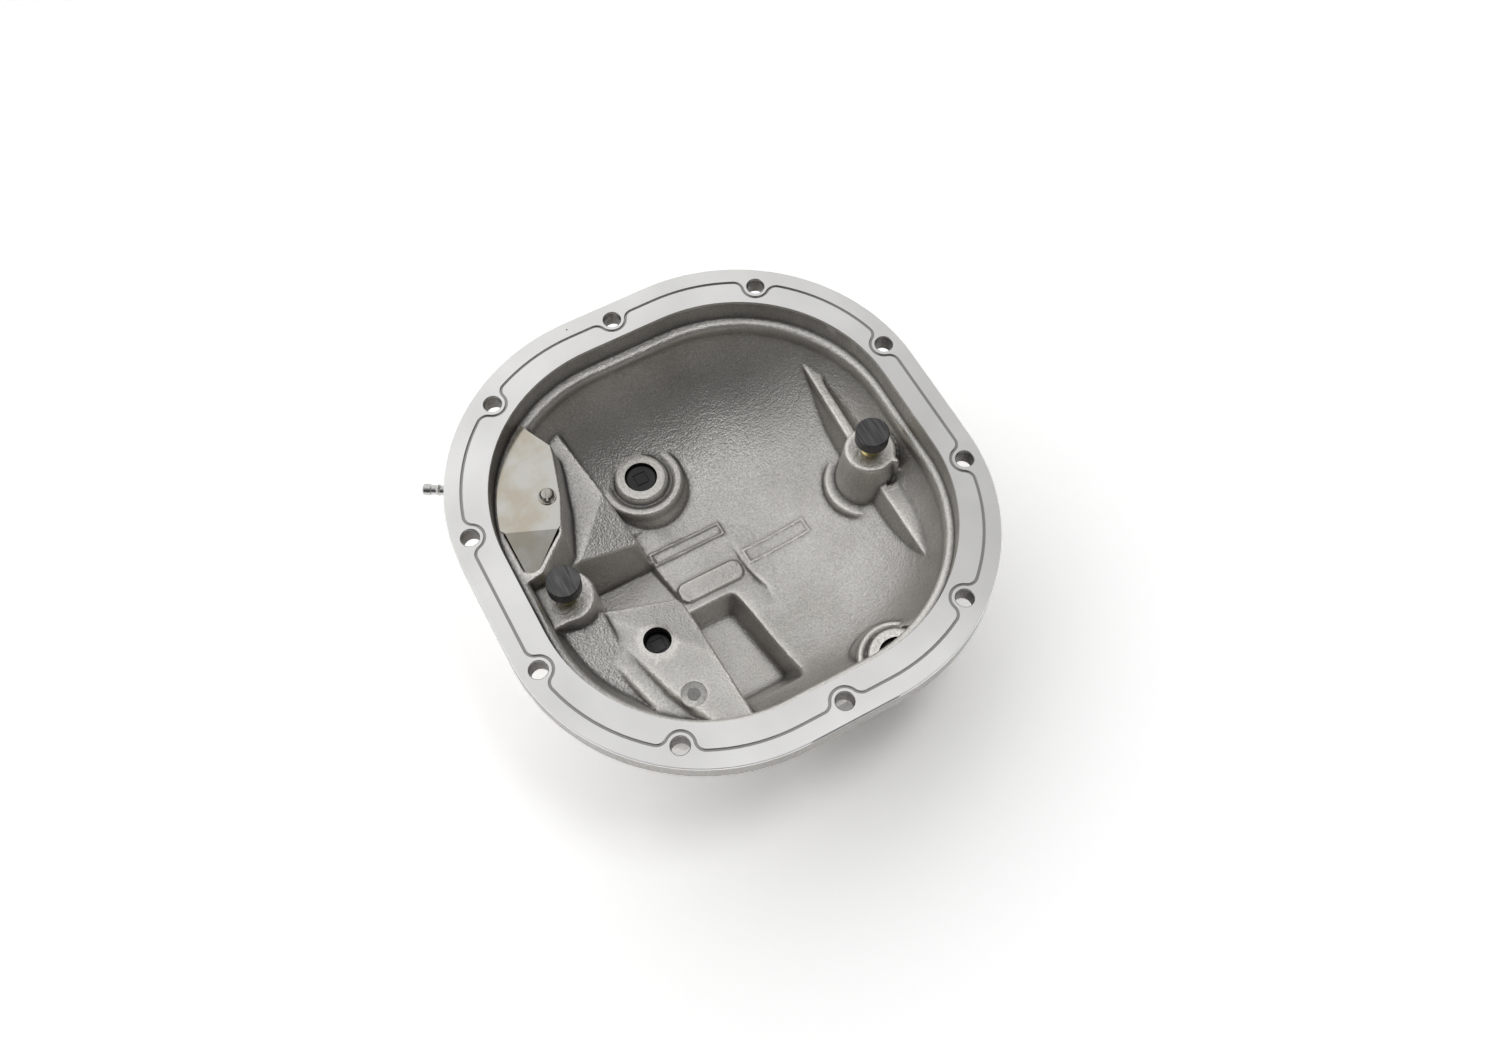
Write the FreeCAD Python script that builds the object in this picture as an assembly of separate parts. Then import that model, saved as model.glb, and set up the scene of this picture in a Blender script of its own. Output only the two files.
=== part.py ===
# Differential cover: a cast cover that closes the rear of an axle housing, seen from its inside.
# It has two load bolts, three screwed plugs, a vent fitting and a small oil baffle.
# Millimetres. The origin is the centre of the bolt pattern on the machined mating face.
# +Z points out of the mating face, +Y is the top of the cover on the vehicle.
import FreeCAD
import Part
import math
import os

V = FreeCAD.Vector
Z = V(0, 0, 1)

# Flange
flange_half_width = 124.2
flange_half_height = 127.9
flange_corner_r = 101.5
flange_thickness = 10.5
flange_edge_break = 0.5

# Bolt pattern, set in from the flange edge
bolt_hole_r = 4.5
bolt_chamfer = 0.3
pair_y = flange_half_height - 9.9
corner_x = flange_half_width - 49.65
corner_y = flange_half_height - 26.9
side_x = flange_half_width - 9.75
side_y = 38.2
spanner_room_r = 8.0
spanner_room_depth = 20.0

# Sealing groove, which passes inside each bolt hole
groove_half_width = flange_half_width - 8.2
groove_half_height = flange_half_height - 9.4
groove_corner_r = flange_corner_r - 9.0
groove_width = 1.5
groove_depth = 0.9
groove_detour_r = 6.9
groove_blend_r = 5.0

# Opening and the ledge below it
opening_half_width = flange_half_width - 19.2
opening_half_height = flange_half_height - 21.1
opening_corner_r = flange_corner_r - 17.5
opening_shift_x = 0.85
opening_draft = 1.0
ledge_z = -12.5

# Mouth of the dish, whose edge is rounded
mouth_half_width = opening_half_width - 5.0
mouth_half_height = opening_half_height - 6.8
mouth_corner_r = opening_corner_r - 5.6
mouth_round = 3.2
mouth_steps = (0.0, 22.5, 45.0, 67.5, 90.0)

# Dish
dish_half_width = opening_half_width - 3.0
dish_shift_x = 1.5
dish_half_height = opening_half_height - 5.8
dish_corner_r = opening_corner_r - 5.0
dish_bottom_z = -70.0
dish_power = 1.6
dish_root = 0.372
sump_side_power = 2.0
sump_side_root = 0.3
dish_steps = (0.0, 0.1, 0.22, 0.36, 0.5, 0.64, 0.76, 0.86, 0.93, 0.972, 0.992)
wall = 7.0
skirt = 12.0

# Load bolts and their bosses
load_x = opening_half_width - 20.0
load_y = -0.8
load_stem_r = 4.75
load_pad_r = 8.5
load_pad_top_z = -5.8
load_pad_height = 7.3
load_pad_socket = 4.0
thread_clearance = 0.1
right_boss_r = 13.3
left_boss_r = 14.0
load_boss_top_z = -22.5
load_boss_draft = 5.4
load_boss_outer_r = 15.0
load_boss_outer_z = -80.0
pedestal_r = 22.0
pedestal_top_z = -54.5
web_reach = 16.4
web_angle = -55.0
web_width = 3.0
jam_washer_r = 10.5
jam_washer_thickness = 1.6
jam_nut_flats = 17.0
jam_nut_height = 7.0
load_stem_end_z = -92.0

# Bar ribs that run up and down from the right boss
upper_bar_x = load_x + 0.2
lower_bar_x = load_x + 2.4
upper_bar_width = 4.4
lower_bar_width = 8.0
bar_top_z = -37.0
bar_end_y = dish_half_height - 33.0
bar_upper_end_z = -30.0
bar_lower_end_z = -37.4
bar_gap_y = -16.8

# Screwed plugs: fill, drain and sensor port
fill_x = -18.0
fill_y = 57.5
fill_top_z = -55.0
fill_bore_r = 8.5
fill_boss_r = 13.7
fill_shelf_r = 21.6
fill_shelf_drop = 2.6
drain_x = 43.5
drain_y = 2.0 - dish_half_height
drain_top_z = -37.5
drain_bore_r = 9.4
drain_boss_r = 14.4
drain_shelf_r = 19.4
drain_shelf_drop = 3.5
drain_relief = 1.6
sensor_x = -55.2
sensor_y = -36.5
sensor_bore_r = 6.9
plug_clearance = 0.1
plug_sink = 2.0
sensor_plug_sink = 7.0
plug_chamfer = 1.0
plug_mark = 7.0
plug_mark_depth = 0.6
plug_socket = 9.5
plug_socket_depth = 8.0
plug_boss_wall = 4.5
port_outer_z = -84.0
drain_outer_z = -58.0

# Raised block that carries the sensor port
block_top_z = -37.0
block_draft = 6.0
step_draft = 24.0
spot_x = -52.5
spot_y = -69.5
spot_r = 6.3
spot_depth = 0.5
dimple_r = 3.2

# Pockets and the flat that holds the cast pads
side_pocket_z = -75.0
side_pocket_left = 13.0 - load_x
sump_floor_z = -83.0
sump_corner_r = 4.0
flat_z = -72.4
flat_step_centre_x = 66.0
flat_step_r = 57.5
pad_height = 0.7
frame_height = 0.6
frame_line = 1.0

# Raised platform left of the dish
platform_top_z = -31.5
platform_draft = 8.0

# Baffle chamber, plate and screw
chamber_top_z = ledge_z
chamber_floor_z = -38.0
chamber_draft = 7.0
chamber_inset = 5.0
plate_thickness = 1.0
plate_wall_gap = 1.6
flap_angle = 13.0
flap_clearance = 0.6
screw_head_r = 3.6
screw_head_height = 2.4
screw_shank_r = 2.0
screw_length = 11.0
screw_washer_r = 4.5
screw_washer_thickness = 0.8
screw_slot_width = 1.0
screw_slot_depth = 1.2
screw_boss_r = 5.4
screw_slot_angle = 70.0

# Vent fitting
vent_tip_x = 1.5 - flange_half_width
vent_tip_y = flange_half_height - 43.0
vent_z = -20.0
vent_angle = 148.0
vent_length = 22.0
vent_shank = 8.0
vent_bore_r = 1.6
vent_land_r = 2.9
vent_neck_r = 2.4
vent_bead_r = 3.0
vent_collar_r = 5.2
vent_boss_r = 7.5

# Outside ribs, which share one outer plane so that the cover rests on them
rib_x = (-40.0, 11.0, load_x - 23.0)
rib_y = (18.0, -18.0)
rib_thickness = 6.0
rib_outer_z = -95.0
rib_foot_y = flange_half_height - 53.9
rib_root_y = flange_half_height - 21.9
rib_foot_x = flange_half_width - 52.2
rib_root_x = flange_half_width - 24.2


def rounded_outline(half_width, top, bottom, radius, z, shift_x=0.0):
    """Closed wire of four lines and four arcs; top and bottom are distances from the middle."""
    a = half_width - radius
    corners = ((a, top - radius, 0), (-a, top - radius, 90),
               (-a, radius - bottom, 180), (a, radius - bottom, 270))
    arcs = []
    for x, y, start in corners:
        points = []
        for angle in (start, start + 45, start + 90):
            t = math.radians(angle)
            points.append(V(x + shift_x + radius * math.cos(t), y + radius * math.sin(t), z))
        arcs.append(points)
    edges = []
    for i, points in enumerate(arcs):
        edges.append(Part.Arc(*points).toShape())
        edges.append(Part.makeLine(points[2], arcs[(i + 1) % 4][0]))
    return Part.Wire(edges)


def rounded_rectangle(half_width, half_height, radius, z, shift_x=0.0):
    return rounded_outline(half_width, half_height, half_height, radius, z, shift_x)


def slab(wire, height):
    return Part.Face(wire).extrude(V(0, 0, height))


def polygon(points, z):
    corners = [V(x, y, z) for x, y in points]
    return Part.makePolygon(corners + corners[:1])


def prism(points, z_low, z_high):
    return slab(polygon(points, z_low), z_high - z_low)


def tapered(points, z_high, z_low, draft):
    """Prism whose walls lean outward on the way down."""
    top = polygon(points, z_high)
    grow = (z_high - z_low) * math.tan(math.radians(draft))
    low = top.makeOffset2D(grow, 2)
    low.translate(V(0, 0, z_low - z_high))
    return Part.makeLoft([top, low], True, True)


def cylinder(x, y, radius, z_low, z_high):
    return Part.makeCylinder(radius, z_high - z_low, V(x, y, z_low))


def turned(profile, x, y):
    """Solid of revolution about a vertical axis, from (radius, z) points."""
    corners = [V(r, 0, z) for r, z in profile]
    face = Part.Face(Part.makePolygon(corners + corners[:1]))
    solid = face.revolve(V(0, 0, 0), Z, 360)
    solid.translate(V(x, y, 0))
    return solid


def below_plane(p1, p2, p3):
    """Large box whose top lies in the plane through three points."""
    a, b, c = V(*p1), V(*p2), V(*p3)
    normal = (b - a).cross(c - a).normalize()
    if normal.z < 0:
        normal = normal * -1
    size = 600.0
    box = Part.makeBox(size, size, size, V(-size / 2, -size / 2, -size))
    box.Placement = FreeCAD.Placement(a, FreeCAD.Rotation(Z, normal))
    return box


def fuse_all(shapes):
    return shapes[0].multiFuse(shapes[1:]) if len(shapes) > 1 else shapes[0]


def bolt_points():
    points = [(0.0, pair_y), (0.0, -pair_y)]
    for sx in (1, -1):
        for sy in (1, -1):
            points.append((sx * corner_x, sy * corner_y))
            points.append((sx * side_x, sy * side_y))
    return points


def dish_scale(u):
    """Width and height of the dish at a share u of its depth."""
    return (1.0 - u ** dish_power) ** dish_root


def sump_side_scale(u):
    """The dish is fuller toward the bottom of the cover, where oil gathers."""
    return (1.0 - u ** sump_side_power) ** sump_side_root


def bowl(top_z, bottom_z, grow, offset):
    """Dish-shaped solid: the dish's own form, grown in plan and set off by a wall."""
    wires = []
    for u in dish_steps:
        k = dish_scale(u)
        low_k = sump_side_scale(u)
        wires.append(rounded_outline((dish_half_width + grow) * k + offset,
                                     (dish_half_height + grow) * k + offset,
                                     (dish_half_height + grow) * low_k + offset,
                                     (dish_corner_r + grow) * k + offset,
                                     top_z - u * (top_z - bottom_z), dish_shift_x))
    return Part.makeLoft(wires, True, False)


def dish():
    return bowl(ledge_z, dish_bottom_z, 0.0, 0.0)


def outer_shell():
    return bowl(1.0 - flange_thickness, dish_bottom_z - wall, skirt - wall, wall)


def opening():
    wires = []
    for z, shrink in ((1.0, -opening_draft / 12), (ledge_z, opening_draft)):
        wires.append(rounded_rectangle(opening_half_width - shrink, opening_half_height - shrink,
                                       opening_corner_r - shrink, z, opening_shift_x))
    return Part.makeLoft(wires, True, True)


def mouth_outline(offset, z):
    return rounded_rectangle(mouth_half_width + offset, mouth_half_height + offset,
                             mouth_corner_r + offset, z, dish_shift_x)


def mouth():
    """Upright throat below the ledge with its rounded upper edge."""
    wires = []
    for step in mouth_steps:
        t = math.radians(step)
        z = ledge_z - mouth_round * (1.0 - math.cos(t))
        wires.append(mouth_outline(mouth_round * (1.0 - math.sin(t)), z))
    rim = Part.makeLoft(wires, True, True)
    throat = slab(mouth_outline(0.0, dish_bottom_z - 10.0), ledge_z - dish_bottom_z + 10.0)
    return dish().common(throat).fuse(rim)


def flat_pocket():
    """Shallow flat in the middle of the dish, with a curved step on its right."""
    profile = [(34.0, -60.0), (34.0, -67.0), (24.0, -68.3), (10.0, -69.8), (-5.0, -71.6), (-13.0, flat_z),
               (-24.0, -70.6), (-34.0, -69.2), (-34.0, -60.0)]
    corners = [V(-37.0, y, z) for y, z in profile]
    body = Part.Face(Part.makePolygon(corners + corners[:1])).extrude(V(50.0, 0, 0))
    return body.cut(cylinder(flat_step_centre_x, load_y, flat_step_r, -90.0, -50.0))


def side_pocket():
    left = side_pocket_left
    points = [(left, 20.0), (-35.3, 20.0), (-30.0, -6.0), (-30.0, -30.0), (left, -30.0)]
    low = polygon(points, side_pocket_z)
    high = low.makeOffset2D(2.5, 2)
    high.translate(V(0, 0, 30.0))
    return Part.makeLoft([low, high], True, True)


def sump_pocket():
    """Deepest pocket, at the bottom of the cover beside the sensor block."""
    low = [(-31.0, -23.6), (-8.6, -23.6), (0.5, -68.8), (-31.0, -68.8)]
    high = [(-31.0, 3.0), (12.2, 3.0), (4.8, -87.0), (-31.0, -87.0)]
    body = Part.makeLoft([polygon(low, sump_floor_z), polygon(high, sump_floor_z + 43.0)], True, True)
    return body.makeFillet(sump_corner_r, pocket_edges(body, sump_floor_z + 43.0))


def pocket_edges(body, top_z):
    """Every edge except the ones in the open top plane."""
    edges = []
    for edge in body.Edges:
        heights = [vertex.Z for vertex in edge.Vertexes]
        if min(heights) < top_z - 1.0:
            edges.append(edge)
    return edges


def load_boss(x, radius):
    drop = load_boss_top_z - dish_bottom_z + wall
    foot_r = radius + drop * math.tan(math.radians(load_boss_draft))
    low_z = load_boss_top_z - drop
    profile = [(0, low_z), (0, load_boss_top_z), (radius - 1.0, load_boss_top_z),
               (radius - 0.3, load_boss_top_z - 0.3), (radius, load_boss_top_z - 1.0), (foot_r, low_z)]
    return turned(profile, x, load_y)


def right_boss():
    low_z = dish_bottom_z - wall
    ring = [(0, low_z), (0, pedestal_top_z), (pedestal_r - 1.0, pedestal_top_z),
            (pedestal_r, pedestal_top_z - 1.0), (pedestal_r + 2.0, low_z)]
    reach = web_reach
    direction = FreeCAD.Rotation(Z, web_angle)
    web = Part.Face(Part.makePolygon([V(0, -web_width * 2.4, low_z), V(reach, -web_width * 0.2, low_z),
                                      V(reach, web_width * 0.2, low_z), V(0, web_width * 2.4, low_z),
                                      V(0, -web_width * 2.4, low_z)]))
    web = web.extrude(V(0, 0, load_boss_top_z - low_z))
    web.Placement = FreeCAD.Placement(V(load_x, load_y, 0), direction)
    return fuse_all([load_boss(load_x, right_boss_r), turned(ring, load_x, load_y), web])


def left_boss():
    out_x = -load_x - 24.0
    in_x = -load_x - 4.0
    shoulder = tapered([(out_x, load_y + left_boss_r), (out_x, load_y - left_boss_r + 1.5),
                        (in_x, load_y - left_boss_r + 0.8), (in_x, load_y + left_boss_r)],
                       load_boss_top_z, dish_bottom_z, load_boss_draft)
    return load_boss(-load_x, left_boss_r).fuse(shoulder)


def bar(bar_x, width, y_from, y_to, end_z):
    """Bar rib with flared sides; its top runs straight from the boss to its free end."""
    half = width / 2
    high_z = bar_top_z + 12.0
    flare = ((0.0, 0.0), (0.5, 13.5), (4.0, 26.0), (7.0, 50.0))
    left = [(-half - out, high_z - down) for out, down in flare]
    right = [(half + out, high_z - down) for out, down in reversed(flare)]
    corners = [V(bar_x + x, y_from, z) for x, z in left + right]
    body = Part.Face(Part.makePolygon(corners + corners[:1])).extrude(V(0, y_to - y_from, 0))
    top = below_plane((0, load_y, bar_top_z), (1, load_y, bar_top_z), (0, y_to, end_z))
    return body.common(top)


def port_boss(x, y, top_z, boss_r, shelf_r, shelf_drop):
    """Round port seat with a groove and a lower shelf around it."""
    shelf_z = top_z - shelf_drop
    low_z = dish_bottom_z - wall
    groove_floor = shelf_z - 1.8
    ring = shelf_r - boss_r
    profile = [(0, low_z), (0, top_z), (boss_r - 0.8, top_z), (boss_r, top_z - 0.8),
               (boss_r + 0.11 * ring, groove_floor), (boss_r + 0.3 * ring, groove_floor),
               (boss_r + 0.5 * ring, shelf_z - 0.4), (boss_r + 0.58 * ring, shelf_z),
               (shelf_r - 0.6, shelf_z),
               (shelf_r, shelf_z - 0.6), (shelf_r + 0.9, shelf_z - 4.5), (shelf_r + 2.6, shelf_z - 7.5),
               (shelf_r + 4.0, shelf_z - 11.0), (shelf_r + 5.0, low_z)]
    return turned(profile, x, y)


def sensor_block():
    """Raised block with a sloped shoulder and two terraces down to the left wall."""
    plan = [(-70.0, -11.0), (-36.5, -19.5), (-35.0, -24.0), (-32.7, -86.0), (-32.0, -115.0),
            (-115.0, -115.0), (-115.0, -8.0)]
    whole = tapered(plan, block_top_z + 4.0, dish_bottom_z - 25.0, block_draft)
    shoulder = below_plane((-70.7, -15.3, block_top_z), (-40.5, -48.0, block_top_z),
                           (-34.2, -22.5, block_top_z - 6.0))
    edge_1 = [(-69.6, -28.0), (-59.4, -62.7), (-48.2, -86.1), (-40.0, -103.0)]
    edge_2 = [(-77.0, -35.0), (-72.6, -50.5), (-66.5, -68.8), (-58.0, -95.0)]
    right = [(-20.0, -110.0), (-20.0, 0.0)]
    step_low = block_top_z - 16.0
    seat = tapered([(-66.0, 0.0)] + edge_1 + right, block_top_z + 5.0, step_low, step_draft)
    terrace = tapered([(-72.0, 0.0)] + edge_2 + right, block_top_z + 5.0, step_low, step_draft)
    level_0 = below_plane((0, 0, block_top_z), (1, 0, block_top_z), (0, 1, block_top_z))
    level_1 = below_plane((-69.6, -28.0, block_top_z), (-76.7, -35.0, block_top_z),
                          (-60.0, -75.0, block_top_z - 4.5))
    level_2 = below_plane((-77.0, -35.0, block_top_z), (-95.0, -35.0, block_top_z + 3.6),
                          (-77.0, -75.0, block_top_z - 8.8))
    left_plan = [(-72.0, -12.0), (-72.0, -40.0), (-60.0, -60.0), (-50.0, -115.0), (-115.0, -115.0),
                 (-115.0, -8.0)]
    upper = whole.common(seat).common(level_0).common(shoulder)
    middle = whole.common(terrace).common(level_1).common(level_0).common(shoulder)
    lower = prism(left_plan, dish_bottom_z - 25.0, block_top_z + 12.0).common(level_2)
    return fuse_all([upper, middle, lower])


def platform():
    """Two-faceted platform left of the dish, ending in a steep wall above the side pocket."""
    plan = [(-50.5, 95.0), (-43.9, 46.8), (-41.0, 22.3), (-70.0, 22.3), (-110.0, 14.0), (-110.0, 110.0),
            (-52.0, 110.0)]
    body = tapered(plan, platform_top_z + 6.0, dish_bottom_z - 5.0, platform_draft)
    facet = below_plane((-51.1, 86.4, platform_top_z), (-44.8, 46.9, platform_top_z - 4.5),
                        (-68.0, 50.0, platform_top_z - 4.0))
    slope = below_plane((-44.8, 46.9, platform_top_z - 4.5), (-63.6, 31.9, platform_top_z - 5.0),
                        (-39.0, 18.0, platform_top_z - 16.0))
    return body.common(facet).common(slope)


plate_arc_x = opening_shift_x + opening_corner_r - opening_half_width
plate_arc_y = opening_half_height - opening_corner_r
plate_arc_r = opening_corner_r - opening_draft - plate_wall_gap
left_wall_x = opening_shift_x - opening_half_width


def beside_wall(points):
    """Points given from the left wall and the start of its upper corner."""
    return [(left_wall_x + x, plate_arc_y + y) for x, y in points]


def plate_arc_point(angle):
    t = math.radians(angle)
    return (plate_arc_x + plate_arc_r * math.cos(t), plate_arc_y + plate_arc_r * math.sin(t))


plate_tip_angle = 124.5
plate_left_angle = 167.2
plate_tip = plate_arc_point(plate_tip_angle)
plate_left = plate_arc_point(plate_left_angle)
bend_left, bend_right = beside_wall([(6.15, 15.8), (29.55, 5.8)])
plate_right = beside_wall([(31.45, 6.8), (37.95, 21.2), (44.55, 43.8), (45.95, 49.7)])
flap_free = beside_wall([(12.55, -8.2), (9.55, -8.6), (6.35, -6.6)])
screw_x, screw_y = beside_wall([(32.65, 24.2)])[0]


def plate_wire(z):
    """Flat part of the baffle: an arc on the wall side, straight edges on the other."""
    middle = plate_arc_point((plate_tip_angle + plate_left_angle) / 2)
    arc = Part.Arc(V(*plate_tip, z), V(*middle, z), V(*plate_left, z)).toShape()
    corners = [V(*p, z) for p in [plate_left, bend_left, bend_right] + plate_right + [plate_tip]]
    return Part.Wire([arc] + Part.makePolygon(corners).Edges)


def flap():
    """Bent end of the baffle, turned down about the lower edge of its bend line."""
    top_z = chamber_top_z + plate_thickness
    back = []
    for x, y in (bend_right, bend_left):
        back.append((x + plate_thickness * 0.35, y + plate_thickness * 0.9))
    body = prism([bend_left, back[1], back[0], bend_right] + flap_free, chamber_top_z, top_z)
    start = V(*bend_left, chamber_top_z)
    body.rotate(start, V(*bend_right, chamber_top_z) - start, flap_angle)
    return body.common(below_plane((0, 0, top_z), (1, 0, top_z), (0, 1, top_z)))


def chamber_block():
    outline = beside_wall([(32.65, 81.2), (46.75, 50.0), (45.55, 44.0), (38.75, 21.0), (32.55, 6.8),
                           (30.65, 2.8), (13.65, -11.8), (7.65, -12.8), (-7.85, -12.8), (-7.85, 81.2)])
    return tapered(outline, chamber_top_z, dish_bottom_z, chamber_draft)


def chamber_hollow():
    """Hollow under the baffle plate, open around the bent flap."""
    depth = chamber_top_z - chamber_floor_z
    floor = Part.Face(plate_wire(chamber_floor_z)).makeOffset2D(-chamber_inset)
    under_plate = floor.extrude(V(0, 0, depth))
    under_plate = under_plate.cut(cylinder(screw_x, screw_y, screw_boss_r, chamber_floor_z, chamber_top_z))
    around_flap = polygon([bend_left, bend_right] + flap_free, chamber_floor_z)
    around_flap = Part.Face(around_flap.makeOffset2D(flap_clearance, 2)).extrude(V(0, 0, depth))
    return under_plate.fuse(around_flap)


def vent_axis():
    t = math.radians(vent_angle)
    return V(math.cos(t), math.sin(t), 0)


def vent_point(distance):
    """Point on the vent's axis, measured back from its tip."""
    return V(vent_tip_x, vent_tip_y, vent_z) - vent_axis() * distance


def vent_boss():
    inner_end = vent_length + 26.0
    return Part.makeCylinder(vent_boss_r, inner_end - vent_length, vent_point(inner_end), vent_axis())


def sheet_rib(points, axis, at):
    """Plate rib in the YZ plane (axis 'x') or the XZ plane (axis 'y')."""
    half = rib_thickness / 2
    if axis == "x":
        corners = [V(at - half, a, z) for a, z in points]
        direction = V(rib_thickness, 0, 0)
    else:
        corners = [V(a, at - half, z) for a, z in points]
        direction = V(0, rib_thickness, 0)
    return Part.Face(Part.makePolygon(corners + corners[:1])).extrude(direction)


def outside_ribs():
    under = -flange_thickness + 1.0
    upright = [(-rib_root_y, under), (rib_root_y, under),
               (rib_foot_y, rib_outer_z), (-rib_foot_y, rib_outer_z)]
    cross = [(-rib_root_x, under), (rib_root_x, under),
             (rib_foot_x, rib_outer_z), (-rib_foot_x, rib_outer_z)]
    ribs = [sheet_rib(upright, "x", x) for x in rib_x]
    ribs += [sheet_rib(cross, "y", y) for y in rib_y]
    return ribs


def outside_bosses():
    """Cast bosses behind the load bolts, the plugs and the deep pockets."""
    top = -flange_thickness + 1.0
    shapes = []
    for side in (-1, 1):
        shapes.append(cylinder(side * load_x, load_y, load_boss_outer_r, load_boss_outer_z, top))
    for x, y, bore, low in ports():
        shapes.append(cylinder(x, y, bore + plug_boss_wall, low, low + 30.0))
    shapes.append(prism([(-38.0, -10.0), (11.0, -10.0), (11.0, -84.0), (-38.0, -84.0)],
                        sump_floor_z - wall, -50.0))
    left = side_pocket_left + 1.0
    shapes.append(prism([(left, 30.0), (-26.0, 30.0), (-26.0, -30.0), (left, -30.0)],
                        side_pocket_z - wall, -50.0))
    return shapes


def ports():
    """Place, bore and outer face height of each screwed port."""
    return [(fill_x, fill_y, fill_bore_r, port_outer_z), (drain_x, drain_y, drain_bore_r, drain_outer_z),
            (sensor_x, sensor_y, sensor_bore_r, port_outer_z)]


def grown(face, distance):
    return face.makeOffset2D(distance).Faces[0]


def groove():
    line = rounded_rectangle(groove_half_width, groove_half_height, groove_corner_r, -groove_depth)
    face = Part.Face(line)
    for x, y in bolt_points():
        disc = Part.Face(Part.Wire(Part.makeCircle(groove_detour_r, V(x, y, -groove_depth))))
        face = face.cut(disc).Faces[0]
    face = grown(grown(face, -groove_blend_r), groove_blend_r)
    ring = grown(face, groove_width / 2).cut(grown(face, -groove_width / 2))
    return ring.Faces[0].extrude(V(0, 0, groove_depth + 1.0))


def flange():
    outline = rounded_rectangle(flange_half_width, flange_half_height, flange_corner_r, -flange_thickness)
    body = slab(outline, flange_thickness)
    rim = [edge for edge in body.Edges if min(v.Z for v in edge.Vertexes) > -0.01]
    return body.makeChamfer(flange_edge_break, rim)


def bolt_cuts():
    """Clearance hole, its chamfer and the spanner room behind the flange."""
    cuts = []
    for x, y in bolt_points():
        cuts.append(cylinder(x, y, bolt_hole_r, -40.0, 1.0))
        cuts.append(Part.makeCone(bolt_hole_r, bolt_hole_r + bolt_chamfer + 1.0,
                                  bolt_chamfer + 1.0, V(x, y, -bolt_chamfer)))
        cuts.append(cylinder(x, y, spanner_room_r,
                             -flange_thickness - spanner_room_depth, -flange_thickness))
    return cuts


def raised(pad, surface, height):
    """Pad that stands a little above the surface it is cast on."""
    lifted = surface.copy()
    lifted.translate(V(0, 0, height))
    return pad.cut(lifted)


def frame_blank(x0, y0, x1, y1):
    """Upright ring of a rectangular frame, to be trimmed to the cast surface."""
    t = frame_line
    outer = Part.makeBox(x1 - x0, y1 - y0, 16.0, V(x0, y0, dish_bottom_z - 8.0))
    inner = Part.makeBox(x1 - x0 - 2 * t, y1 - y0 - 2 * t, 16.0,
                         V(x0 + t, y0 + t, dish_bottom_z - 8.0))
    return outer.cut(inner)


def cast_pads():
    """Bare frames and a bare pad on the flat; they hold no words."""
    surface = dish().fuse(flat_pocket())
    pad = Part.makeBox(36.0, 10.8, 16.0, V(-29.0, -12.4, dish_bottom_z - 8.0))
    upright = [edge for edge in pad.Edges if abs(edge.Vertexes[0].Z - edge.Vertexes[-1].Z) > 1.0]
    pad = pad.makeFillet(4.5, upright)
    return [raised(frame_blank(-33.0, 13.2, 8.0, 20.8), surface, frame_height),
            raised(pad, surface, pad_height),
            raised(frame_blank(11.5, -8.4, 47.5, 0.6), surface, frame_height * 0.5)]


def cavity():
    """Everything that is open inside the cover."""
    space = fuse_all([opening(), mouth(), flat_pocket(), side_pocket(), sump_pocket()])
    lumps = [right_boss(), left_boss(),
             bar(upper_bar_x, upper_bar_width, 10.0, bar_end_y, bar_upper_end_z),
             bar(lower_bar_x, lower_bar_width, bar_gap_y, -bar_end_y, bar_lower_end_z),
             port_boss(fill_x, fill_y, fill_top_z, fill_boss_r, fill_shelf_r, fill_shelf_drop),
             sensor_block(), platform(), chamber_block()] + cast_pads()
    space = space.cut(lumps)
    relief = cylinder(drain_x, drain_y, drain_boss_r + drain_relief,
                      drain_top_z - drain_shelf_drop, ledge_z - 2.0)
    space = space.fuse(relief.common(slab(mouth_outline(0.0, -60.0), 60.0)))
    seat = port_boss(drain_x, drain_y, drain_top_z, drain_boss_r, drain_shelf_r, drain_shelf_drop)
    return space.cut(seat).fuse(chamber_hollow())


def bores():
    """Threaded and plain bores through the casting."""
    cuts = []
    for side in (-1, 1):
        cuts.append(cylinder(side * load_x, load_y, load_stem_r + thread_clearance, -100.0, 0.0))
    for x, y, bore, low in ports():
        cuts.append(cylinder(x, y, bore, low - 20.0, port_top(x)))
    cuts.append(cylinder(screw_x, screw_y, screw_shank_r + thread_clearance,
                         chamber_top_z - screw_length, chamber_top_z + 1.0))
    cuts.append(cylinder(spot_x, spot_y, spot_r, block_top_z - spot_depth, block_top_z + 5.0))
    cuts.append(Part.makeCone(0.3, dimple_r, 2.2, V(spot_x, spot_y, block_top_z - spot_depth - 2.2)))
    reach = vent_length + vent_shank
    cuts.append(Part.makeCylinder(vent_neck_r + 0.6, reach, vent_point(reach), vent_axis()))
    cuts.append(Part.makeCylinder(vent_bore_r, 60.0, vent_point(60.0), vent_axis()))
    return cuts


def port_top(x):
    """Height at which a port's bore opens into the cover."""
    return {fill_x: fill_top_z + 1.0, drain_x: drain_top_z + 1.0, sensor_x: block_top_z + 1.0}[x]


def cover_casting():
    shell = fuse_all([outer_shell(), flange(), vent_boss()] + outside_bosses() + outside_ribs())
    shell = shell.cut(bolt_cuts())
    shell = shell.cut(cavity())
    return shell.cut(bores() + [groove()])


def load_stem(side):
    """Threaded adjusting stem, through its boss and out behind the cover."""
    top_z = load_pad_top_z - load_pad_height + load_pad_socket
    stem = cylinder(side * load_x, load_y, load_stem_r, load_stem_end_z, top_z)
    ends = [edge for edge in stem.Edges if len(edge.Vertexes) == 1]
    return stem.makeChamfer(0.8, ends)


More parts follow.
